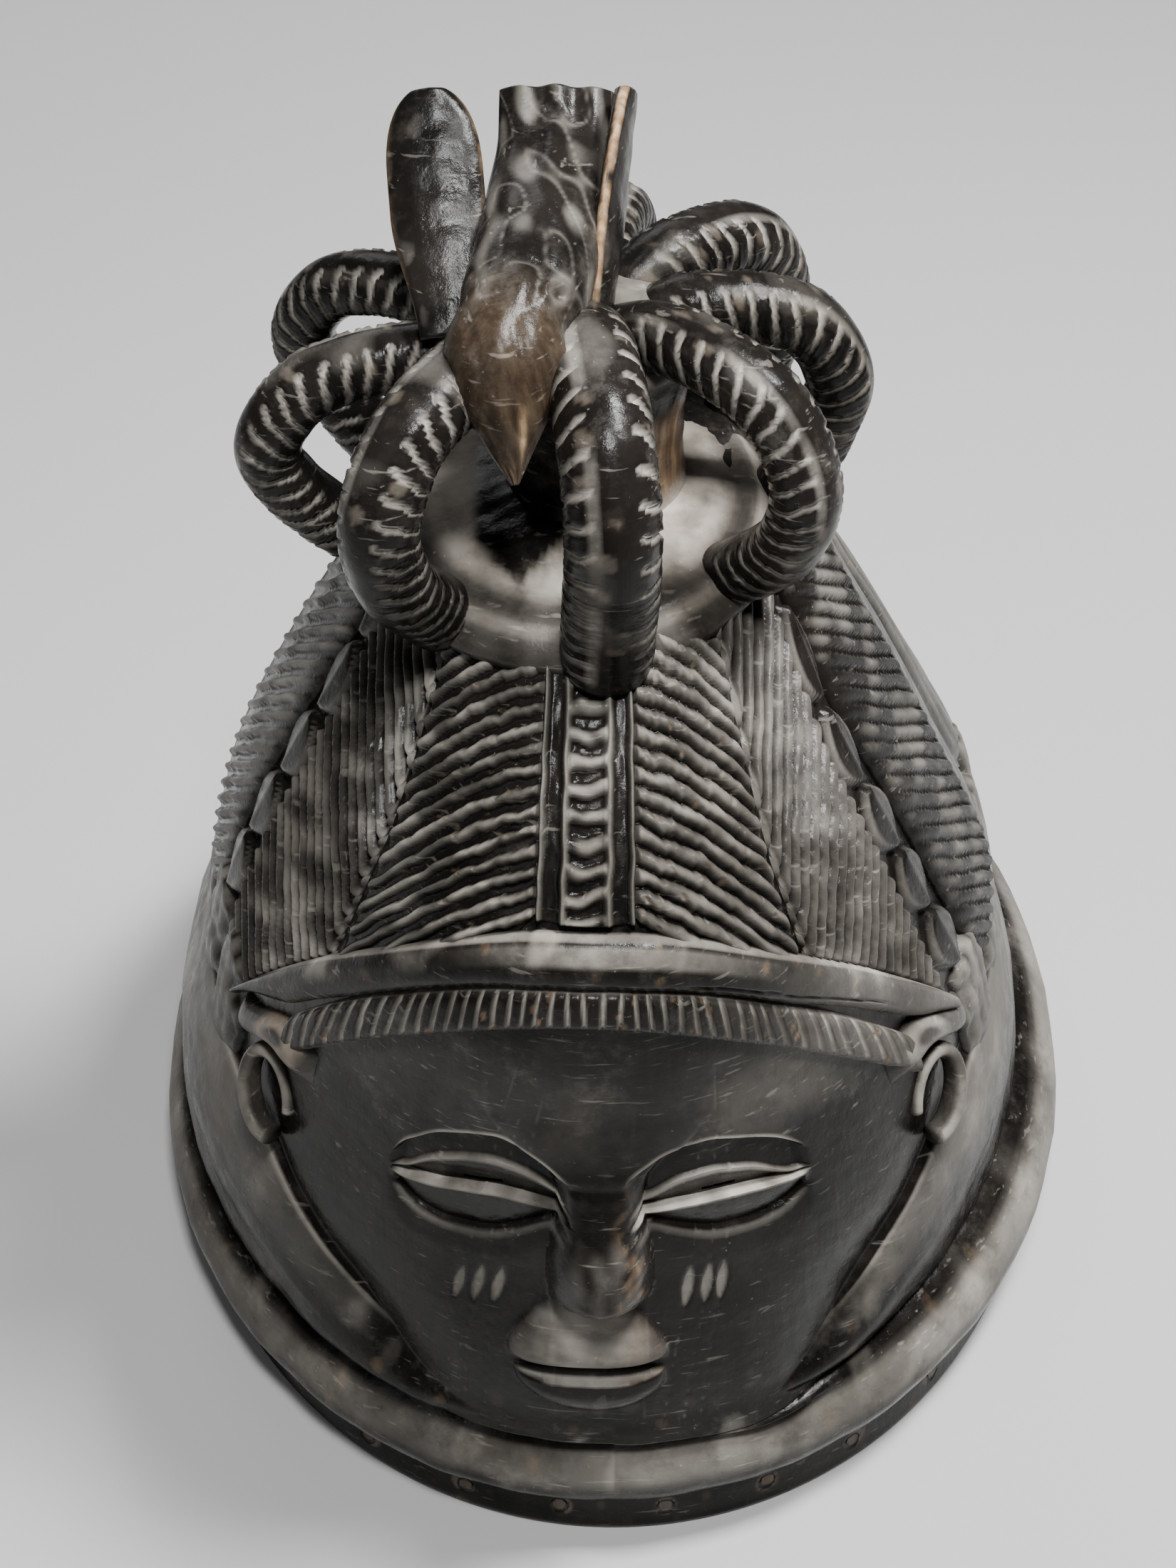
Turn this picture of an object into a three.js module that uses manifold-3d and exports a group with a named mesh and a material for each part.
import * as THREE from "three";
import { mergeVertices } from "three/addons/utils/BufferGeometryUtils.js";
import Module from "manifold-3d";

// Carved helmet mask, one piece of wood. Millimetres, +Z up.
// The face looks along -Y and the middle of the rim's underside is the origin.

// Driving dimensions
const RIM_HALF_WIDTH = 116;
const RIM_FRONT = 135;
const RIM_BACK = 135.6;
const WALL = 11;
const HEAD_SHIFT = -3;
const LOWER_ROLL_FOOT = 14;
const ROLL_GROOVE = 38;
const LOWER_ROLL = 8.5;
const UPPER_ROLL = 8.5;
const CREST_X = -9.5;
const CREST_Y = -15;
const RIBS_PER_LOOP = 6;
const BAND_RIBS = 12;
const RUNGS = 5;
const FALLING_RIDGES = 7;
const UPRIGHT_RIDGES = 5;
const BRAID_RIBS = 8;
const LEAVES = 4;
const BACK_STRANDS = 5;
const LACE_HOLES = 28;
const LACE_HOLE_DIAMETER = 3.8;
const LACE_HOLE_Z = 7.5;
const SLIT_LENGTH = 17;
const SLIT_HEIGHT = 2.4;
const PARTING_DEG = -2.4;
const SEAM_LEFT_DEG = -48.5;
const SEAM_RIGHT_DEG = 38.5;

// Head without the neck rings: height, half width, depth to the front, depth to the back.
const HEAD = [
  [0, RIM_HALF_WIDTH, RIM_FRONT, RIM_BACK],
  [32, 111, 128, 128.4],
  [52, 103, 124, 120],
  [90, 98, 126, 104],
  [120, 91, 123, 92],
  [150, 79, 121, 74],
  [180, 65, 118, 56],
  [197, 56, 111, 47],
  [215, 47, 92, 40],
  [232, 38, 66, 31],
  [240, 30, 46, 24],
];
const HEAD_TOP = 243;

const rad = THREE.MathUtils.degToRad;
const clamp = THREE.MathUtils.clamp;
const lerp = THREE.MathUtils.lerp;
const smooth = THREE.MathUtils.smoothstep;
const vec = (x, y, z) => new THREE.Vector3(x, y, z);

// Smooth curve through one column of the head's sizes
function headSize(z, column) {
  const last = HEAD.length - 1;
  let i = 0;
  while (i < last - 1 && z > HEAD[i + 1][0]) i += 1;
  const slope = (k) => {
    const a = HEAD[Math.max(k - 1, 0)];
    const b = HEAD[Math.min(k + 1, last)];
    return (b[column] - a[column]) / (b[0] - a[0]);
  };
  const [p, q] = [HEAD[i], HEAD[i + 1]];
  const h = q[0] - p[0];
  const t = clamp((z - p[0]) / h, 0, 1);
  const curve = (1 + 2 * t) * (1 - t) ** 2 * p[column] + t * t * (3 - 2 * t) * q[column];
  return curve + t * (1 - t) ** 2 * h * slope(i) - t * t * (1 - t) * h * slope(i + 1);
}

// Point of an oval section, 0 degrees at the face and 90 degrees at +X
function oval(deg, halfWidth, front, back, square) {
  const s = Math.sin(rad(deg));
  const c = Math.cos(rad(deg));
  const x = halfWidth * Math.sign(s) * Math.abs(s) ** (2 / square);
  const depth = Math.abs(c) ** (2 / square);
  return [x, c > 0 ? -front * depth : back * depth];
}

// Degrees either side of the face, 0 to 180
const turned = (deg) => Math.abs(deg > 180 ? deg - 360 : deg);

// How far the face and the hair stand off the middle of the neck
const sideways = (z) => HEAD_SHIFT * (smooth(z, 34, 80) + 0.5 * smooth(z, 110, 150));

function skin(deg, z) {
  const square = 2 + (turned(deg) > 90 ? 0.25 : 0.2 * smooth(z, 40, 90));
  const [x, y] = oval(deg, headSize(z, 1), headSize(z, 2), headSize(z, 3), square);
  const p = vec(x, y, z);
  const out = p.clone().setZ(0).normalize();
  return p.addScaledVector(out, chin(deg, z)).add(vec(sideways(z), 0, 0));
}

// Chin and mouth stand forward of the cheeks and hide the upper neck roll
function chin(deg, z) {
  return 9 * (1 - smooth(turned(deg), 16, 38)) * smooth(z, 36, 40) * (1 - smooth(z, 50, 98));
}

function skinNormal(deg, z) {
  const along = skin(deg + 1, z).sub(skin(deg - 1, z));
  const up = skin(deg, Math.min(z + 1, 240)).sub(skin(deg, z - 1));
  return along.cross(up).normalize();
}

// Upper edge of the upper roll, which climbs from under the chin to the ears
function rollTop(deg) {
  const turn = turned(deg);
  return 54 + 40 * smooth(turn, 24, 58) - 16 * smooth(turn, 75, 120);
}

// Foot of the lower roll, groove between the rolls and top of the upper roll, higher on the right
function rollEdges(deg) {
  const tilt = 5 * Math.sin(rad(deg));
  return [LOWER_ROLL_FOOT + 0.5 * tilt, ROLL_GROOVE + tilt, rollTop(deg)];
}

// Two rolls of flesh round the neck: a round one, and one with a sloping upper face
function neckRolls(deg, z) {
  const [foot, groove, top] = rollEdges(deg);
  const lean = Math.sin(rad(deg));
  const s = (z - foot) / (groove - foot);
  const lower = (LOWER_ROLL + 0.54 * lean) * Math.sqrt(Math.max(0, 1 - Math.abs(2 * s - 1) ** 2.6));
  const size = UPPER_ROLL - 2 * lean;
  const t = (z - groove) / (top - groove);
  const round = size * Math.sqrt(Math.max(0, 1 - ((0.42 - t) / 0.42) ** 2));
  const slope = lerp(size, 3.5, clamp((t - 0.42) / 0.58, 0, 1) ** 1.4) * (1 - smooth(z, top, top + 2));
  const upper = t < 0.42 ? round : slope;
  return Math.max(lower, (t > 0 ? upper : 0) - chin(deg, z), 0);
}

// Height of a level of the helmet, bent to follow the rolls
function bent(deg, level) {
  const levels = [0, LOWER_ROLL_FOOT, ROLL_GROOVE, 60, 120, HEAD_TOP];
  const heights = [0, ...rollEdges(deg), 120, HEAD_TOP];
  let i = 0;
  while (i < 4 && level > levels[i + 1]) i += 1;
  return lerp(heights[i], heights[i + 1], (level - levels[i]) / (levels[i + 1] - levels[i]));
}

const wasm = await Module();
wasm.setup();

function solid(geometry) {
  const g = geometry.clone();
  g.deleteAttribute("normal");
  g.deleteAttribute("uv");
  const merged = mergeVertices(g, 1e-4);
  const mesh = new wasm.Mesh({
    numProp: 3,
    vertProperties: new Float32Array(merged.attributes.position.array),
    triVerts: new Uint32Array(merged.index.array),
  });
  mesh.merge();
  const body = new wasm.Manifold(mesh);
  return body.volume() < 0 ? flipped(mesh) : body;
}

function flipped(mesh) {
  const tris = mesh.triVerts.slice();
  for (let i = 0; i < tris.length; i += 3) [tris[i], tris[i + 1]] = [tris[i + 1], tris[i]];
  const turned = new wasm.Mesh({ numProp: 3, vertProperties: mesh.vertProperties, triVerts: tris });
  turned.merge();
  return new wasm.Manifold(turned);
}

function mapped(geometry, place) {
  const at = geometry.attributes.position;
  for (let i = 0; i < at.count; i += 1) {
    const p = place(at.getX(i), at.getY(i), at.getZ(i));
    at.setXYZ(i, p.x, p.y, p.z);
  }
  return solid(geometry);
}

// Closed tube of unit radius whose every vertex is placed by its angle and its share of the way
function swept(sides, steps, place) {
  const g = new THREE.CylinderGeometry(1, 1, 1, sides, steps);
  return mapped(g, (x, y, z) => place(Math.atan2(z, x), clamp(y + 0.5, 0, 1), Math.hypot(x, z)));
}

// Ridge on the skin: path gives degrees and height, width and height may change on the way
function ridge(path, width, height, steps = 2, sink = 1.6) {
  const g = new THREE.CylinderGeometry(1, 1, 1, 4, steps);
  return mapped(g, (x, y, z) => {
    const t = clamp(y + 0.5, 0, 1);
    const [deg, up] = path(t);
    const [d0, z0] = path(Math.max(t - 0.02, 0));
    const [d1, z1] = path(Math.min(t + 0.02, 1));
    const n = skinNormal(deg, up);
    const side = skin(d1, z1).sub(skin(d0, z0)).normalize().cross(n).normalize();
    const w = typeof width === "function" ? width(t) : width;
    const h = typeof height === "function" ? height(t) : height;
    const lift = z > 0.5 ? h : z < -0.5 ? -sink : 0;
    return skin(deg, up).addScaledVector(side, (w / 2) * x).addScaledVector(n, lift);
  });
}

function blob(centre, radii, wide = 10, high = 8, yaw = 0) {
  const turn = new THREE.Euler(0, 0, rad(yaw));
  const g = new THREE.SphereGeometry(1, wide, high);
  return mapped(g, (x, y, z) => vec(x * radii.x, z * radii.y, y * radii.z).applyEuler(turn).add(centre));
}

const joined = (parts) => parts.reduce((all, part) => all.add(part));

// Helmet: one closed profile turned round the axis, then pushed out to the oval
function helmet() {
  const neck = [0, 13.9, 15, 19, 26, 33, 37.3, 38.5, 41, 47, 54, 59.9, 61.2];
  const head = [75, 97, 120, 145, 170, 188, 200, 213, 226, 238];
  const outside = [...neck, ...head];
  const profile = [];
  outside.forEach((z, i) => profile.push(new THREE.Vector2(100 - i * 0.01, z)));
  profile.push(new THREE.Vector2(0, HEAD_TOP));
  const outer = new THREE.LatheGeometry([new THREE.Vector2(0, 0), ...profile], LACE_HOLES);
  return mapped(outer, (x, y, z) => {
    const r = Math.hypot(x, z);
    if (r < 1e-6) return vec(0, y > 1 ? -14 : 0, y);
    const deg = THREE.MathUtils.radToDeg(Math.atan2(x, z));
    const up = bent(deg, y);
    const p = skin(deg, up);
    const out = vec(p.x, p.y, 0).normalize();
    return p.addScaledVector(out, neckRolls(deg, up));
  });
}

// Room for the wearer's head, open at the bottom, which leaves the wall round it
function headRoom() {
  const hollow = [new THREE.Vector2(0, -5), new THREE.Vector2(100, -5)];
  [0, 70, 120, 160, 190, 212].forEach((z) => hollow.push(new THREE.Vector2(100, z)));
  hollow.push(new THREE.Vector2(0, 222));
  return mapped(new THREE.LatheGeometry(hollow, LACE_HOLES), (x, y, z) => {
    const r = Math.hypot(x, z);
    if (r < 1e-6) return vec(0, y > 1 ? -18 : 0, y);
    const deg = THREE.MathUtils.radToDeg(Math.atan2(x, z));
    const up = clamp(y + 6, 0, 232);
    const size = [1, 2, 3].map((column) => headSize(up, column) - WALL - 2 * smooth(y, 120, 220));
    const [px, py] = oval(deg, ...size, 2.1);
    return vec(px + sideways(y), py, y);
  });
}

function laceHoles() {
  const holes = [];
  for (let i = 0; i < LACE_HOLES; i += 1) {
    const deg = (360 * (i + 0.5)) / LACE_HOLES;
    const p = skin(deg, LACE_HOLE_Z);
    const out = vec(p.x, p.y, 0).normalize();
    holes.push(mapped(new THREE.CylinderGeometry(1, 1, 1, 4), (x, y, z) => {
      const r = LACE_HOLE_DIAMETER / 2;
      const across = vec(-out.y, out.x, 0);
      return p.clone().addScaledVector(out, y * 40).addScaledVector(across, x * r).add(vec(0, 0, z * r));
    }));
  }
  return joined(holes);
}

// Panel laid on the skin: u runs 0..1 over its columns and v over its rows
function panel(columns, rows, at, height, sink = 3) {
  const g = new THREE.BoxGeometry(1, 1, 1, columns, rows, 1);
  return mapped(g, (x, y, z) => {
    const [u, v] = [x + 0.5, y + 0.5];
    const [deg, up] = at(u, v);
    const lift = z > 0 ? height(Math.round(u * columns), Math.round(v * rows)) : -sink;
    return skin(deg, up).addScaledVector(skinNormal(deg, up), lift);
  });
}

// Heights of the two bands over the forehead, which fall towards the ears
const hairline = (deg) => 178 - 52 * ((deg + 1.5) / 47.5) ** 2;
const ribBandTop = (deg) => 188 - 58 * (Math.abs(deg + 1.5) / 52) ** 2.4;
const bandTop = (deg) => 196 - 66 * (Math.abs(deg + 1) / 59) ** 2.5;

function bandFoot(deg) {
  const taper = 13 * (1 - smooth(Math.abs(deg), 50, 67));
  return Math.max(ribBandTop(deg), bandTop(deg) - taper);
}

function foreheadBands() {
  const ribbed = panel(2 * BAND_RIBS, 1, (u, v) => {
    const deg = lerp(-51, 50, u);
    return [deg, lerp(hairline(deg), ribBandTop(deg) - 0.4, v)];
  }, (i) => (i % 2 ? 3.9 : 1.8), 4);
  const plain = panel(14, 2, (u, v) => {
    const deg = lerp(-65, 61, u);
    return [deg, lerp(bandFoot(deg), bandTop(deg) + 2, v)];
  }, (i, j) => [2.6, 4.8, 0.8][j], 4);
  return [ribbed, plain];
}

// Strip of rungs along the parting, ridges that fall away from it and fine upright ridges beyond
function hair() {
  const parts = [];
  const half = (v) => 9 + 2.7 * v;
  parts.push(panel(4, 2 * RUNGS, (u, v) => {
    return [PARTING_DEG + lerp(-half(v), half(v), u), lerp(199, 232, v)];
  }, (i, j) => (i === 0 || i === 4 ? 1.2 : i !== 2 ? 2.9 : j % 2 ? 2.4 : 0.9)));
  const [left, right] = [PARTING_DEG - 9, PARTING_DEG + 9];
  for (const [seam, start] of [[SEAM_LEFT_DEG, left], [SEAM_RIGHT_DEG, right]]) {
    parts.push(panel(2, 2 * FALLING_RIDGES, (u, v) => {
      const end = lerp(bandTop(seam) + 1, 228, v);
      const begin = lerp(201, 233, v);
      return [lerp(start + Math.sign(seam) * 3 * v, seam - Math.sign(seam), u), lerp(begin, end, u)];
    }, (i, j) => (j % 2 ? 2.4 : 0.8)));
  }
  for (const [from, to] of [[SEAM_LEFT_DEG, -74], [SEAM_RIGHT_DEG, 61]]) {
    parts.push(panel(2 * UPRIGHT_RIDGES, 2, (u, v) => {
      const deg = lerp(from + Math.sign(from), to, u);
      return [deg, lerp(Math.max(bandTop(deg), 108) + 1, 230, v)];
    }, (i) => (i % 2 ? 2.2 : 0.7)));
  }
  return parts;
}

// Row of leaves, then a ribbed braid, down each side of the head, with strands behind the ears
function sideBraids() {
  const parts = [];
  for (const [leaf, middle, half] of [[-78, -92.5, 11], [66, 81, 11]]) {
    const side = Math.sign(leaf);
    parts.push(panel(2, 2 * LEAVES, (u, v) => {
      const pinch = Math.round(v * 2 * LEAVES) % 2 ? 1 : 0.35;
      return [leaf - side * 2 * v + lerp(-4, 4, u) * pinch, lerp(122, 222, v)];
    }, (i, j) => (i === 1 && j % 2 ? 3.2 : 0.9)));
    parts.push(panel(3, 2 * BRAID_RIBS, (u, v) => {
      return [middle + lerp(-half, half, u) * (1 + 0.5 * v ** 3), lerp(112, 232, v)];
    }, (i, j) => (i === 0 || i === 3 ? 1 : j % 2 ? 4.8 : 3)));
    parts.push(panel(6, 2, (u, v) => {
      const deg = side * lerp(64, 108, u);
      return [deg, lerp(rollTop(deg) - 2, 124, v)];
    }, (i) => (i % 2 ? 3.6 : 1), 4));
  }
  parts.push(panel(2 * BACK_STRANDS, 3, (u, v) => {
    const deg = lerp(109, 251, u);
    return [deg, lerp(rollTop(deg) - 2, 231, v)];
  }, (i) => (i % 2 ? 3 : 0.8), 4));
  return parts;
}

function face() {
  const parts = [];
  // lips
  parts.push(blob(vec(HEAD_SHIFT, -128.5, 73.5), vec(17, 8, 5.2), 8, 6));
  parts.push(blob(vec(HEAD_SHIFT, -129.5, 62), vec(15, 7.5, 4.6), 8, 6));
  // nose: narrow at the bridge, wide at the nostrils
  parts.push(swept(8, 4, (a, t, r) => {
    const w = lerp(14, 4.6, smooth(t, 0.1, 0.75));
    const d = lerp(14, 5, t);
    const x = HEAD_SHIFT + r * w * Math.cos(a);
    return vec(x, lerp(-125, -121, t) - r * d * Math.sin(a), lerp(90, 131, t));
  }));
  for (const side of [-1, 1]) {
    // closed lids and the brow above them
    parts.push(blob(vec(side * 28 + HEAD_SHIFT, -114, 118.5), vec(22, 7.5, 8.6), 10, 6, side * 17));
    parts.push(ridge((t) => {
      const deg = side * lerp(3.5, 29, t);
      return [deg, 127 + 13 * Math.sin(Math.PI * clamp(0.12 + 0.86 * t, 0, 1))];
    }, 3, 1.8, 4));
    parts.push(ear(side));
  }
  return parts;
}

// Rim of an ear, open at its foot, and the lobe of hair over it
function ear(side) {
  const [deg, z] = [side * 53, 105];
  const centre = skin(deg, z);
  const out = skinNormal(deg, z).add(vec(0, -0.5, 0.5)).normalize();
  const high = vec(0, 0.72, 0.69);
  high.addScaledVector(out, -high.dot(out)).normalize();
  const back = vec(side, 0, 0);
  back.addScaledVector(out, -back.dot(out)).addScaledVector(high, -back.dot(high)).normalize();
  const rim = swept(5, 8, (a, t, r) => {
    const turn = rad(lerp(205, -80, t));
    const away = back.clone().multiplyScalar(Math.cos(turn)).addScaledVector(high, Math.sin(turn));
    const p = centre.clone().addScaledVector(back, 6 * Math.cos(turn)).addScaledVector(out, 3);
    const thick = lerp(1.6, 2.4, t) * r;
    p.addScaledVector(high, 10 * Math.sin(turn)).addScaledVector(away, thick * Math.cos(a));
    return p.addScaledVector(out, 2 * thick * Math.sin(a));
  });
  const lobe = ridge((t) => [side * lerp(63, 47, t), 112 + 13 * smooth(t, 0, 0.7)], 9, 4.5, 3, 3);
  return rim.add(lobe);
}

// One ribbed loop of the crest: it leaves the stem, arches outwards and comes down to the head
function loop(azimuth, reach, top, foot, radius) {
  const dir = vec(Math.cos(rad(azimuth)), Math.sin(rad(azimuth)), 0);
  const across = vec(-dir.y, dir.x, 0);
  const at = (r, z) => vec(CREST_X, CREST_Y, z).addScaledVector(dir, r);
  const curve = new THREE.CatmullRomCurve3([
    at(6, top - 9),
    at(reach * 0.42, top + 1),
    at(reach * 0.84, top - 3),
    at(reach, top - 18),
    at(reach * 0.95, lerp(top, 238, 0.72)),
    at(foot, 233),
  ], false, "centripetal");
  return swept(6, 2 * RIBS_PER_LOOP, (a, t, r) => {
    const tangent = curve.getTangent(t);
    const up = tangent.clone().cross(across).normalize();
    const i = Math.round(t * 2 * RIBS_PER_LOOP);
    const size = (i % 2 ? 1.1 : 0.96) * radius * r;
    const flank = size * Math.cos(a);
    return curve.getPoint(t).addScaledVector(across, flank).addScaledVector(up, size * Math.sin(a));
  });
}

function crest() {
  const parts = [];
  parts.push(mapped(new THREE.CylinderGeometry(1, 1, 1, 8, 2), (x, y, z) => {
    const t = y + 0.5;
    const r = 19 + 4 * (2 * t - 1) ** 2;
    return vec(CREST_X + 4.5 + r * x, CREST_Y + r * z, lerp(232, 293, t));
  }));
  parts.push(blob(vec(CREST_X, CREST_Y - 3, 232), vec(46, 50, 9), 8, 4));
  parts.push(loop(-82, 58, 291, 50, 9.4));
  parts.push(loop(-128, 63, 289, 46, 8));
  parts.push(loop(-170, 66, 277, 50, 7));
  parts.push(loop(155, 66, 278, 48, 6.8));
  parts.push(loop(-38, 60, 289, 40, 7.2));
  parts.push(loop(4, 57, 284, 46, 7.2));
  parts.push(loop(38, 56, 286, 44, 7.6));
  parts.push(loop(78, 56, 281, 42, 6.8));
  return parts;
}

// Bird on the crest, its beak down over the front loop and its tail raised behind
function bird() {
  const spine = new THREE.CatmullRomCurve3([
    vec(-21, -62, 278),
    vec(-22, -54, 287),
    vec(-22.5, -42, 297),
    vec(-19, -29, 300),
    vec(-16, -12, 302),
    vec(-13.5, 6, 308),
    vec(-13, 20, 316),
  ]);
  const neck = (t) => 1.6 * Math.exp(-(((t - 0.39) / 0.05) ** 2));
  const half = (t) => 0.8 + 12.2 * Math.min(t / 0.3, 1) - neck(t) - smooth(t, 0.75, 0.9);
  const deep = (t) => 1.5 + 10 * smooth(t, 0, 0.3) - 8.5 * smooth(t, 0.6, 1);
  const body = swept(8, 10, (a, t, r) => {
    const tangent = spine.getTangent(t);
    const across = tangent.clone().cross(vec(0, 0, 1)).normalize();
    const up = across.clone().cross(tangent).normalize();
    const p = spine.getPoint(t).addScaledVector(across, r * half(t) * Math.cos(a));
    return p.addScaledVector(up, r * deep(t) * Math.sin(a));
  });
  return [body, wing(-1), wing(1)];
}

// Upright paddle beside the back, wide near its round tip; the right one stands edge on
function wing(side) {
  const root = side < 0 ? vec(-33, -27, 288) : vec(-5, -31, 287);
  const tip = side < 0 ? vec(-37.5, 15, 321) : vec(1.5, 15, 319);
  const along = tip.clone().sub(root).normalize();
  return swept(6, 6, (a, t, r) => {
    const lean = side < 0 ? vec(-0.95, 0, 0.3) : vec(lerp(-0.3, -0.05, t), -0.5, 0.8);
    const wide = lean.addScaledVector(along, -lean.dot(along)).normalize();
    const thick = along.clone().cross(wide).normalize();
    const round = Math.sqrt(1 - clamp((t - 0.66) / 0.36, 0, 1) ** 2);
    const w = (3.5 + 6.3 * smooth(t, 0, 0.6)) * round * r;
    const p = root.clone().lerp(tip, t).addScaledVector(wide, w * Math.cos(a));
    return p.addScaledVector(thick, 2.4 * r * Math.sin(a));
  });
}

function eyeSlits() {
  return joined([-1, 1].map((side) => {
    const g = new THREE.BoxGeometry(SLIT_LENGTH, 60, SLIT_HEIGHT);
    g.rotateY(rad(side * 4));
    g.rotateZ(rad(side * 12));
    g.translate(side * 27 + HEAD_SHIFT, -110, 119.5);
    return solid(g);
  }));
}

const relief = [...foreheadBands(), ...hair(), ...sideBraids(), ...face(), ...crest(), ...bird()];
const carved = helmet().add(joined(relief)).subtract(headRoom()).subtract(laceHoles()).subtract(eyeSlits());

function toGeometry(body) {
  const mesh = body.getMesh();
  const g = new THREE.BufferGeometry();
  g.setAttribute("position", new THREE.BufferAttribute(new Float32Array(mesh.vertProperties), 3));
  g.setIndex(new THREE.BufferAttribute(new Uint32Array(mesh.triVerts), 1));
  g.computeVertexNormals();
  return g;
}

const wood = new THREE.MeshStandardMaterial({ color: 0x231c18, roughness: 0.42, metalness: 0 });
const mask = new THREE.Mesh(toGeometry(carved), wood);
mask.name = "mask";

const group = new THREE.Group();
group.add(mask);
export default group;
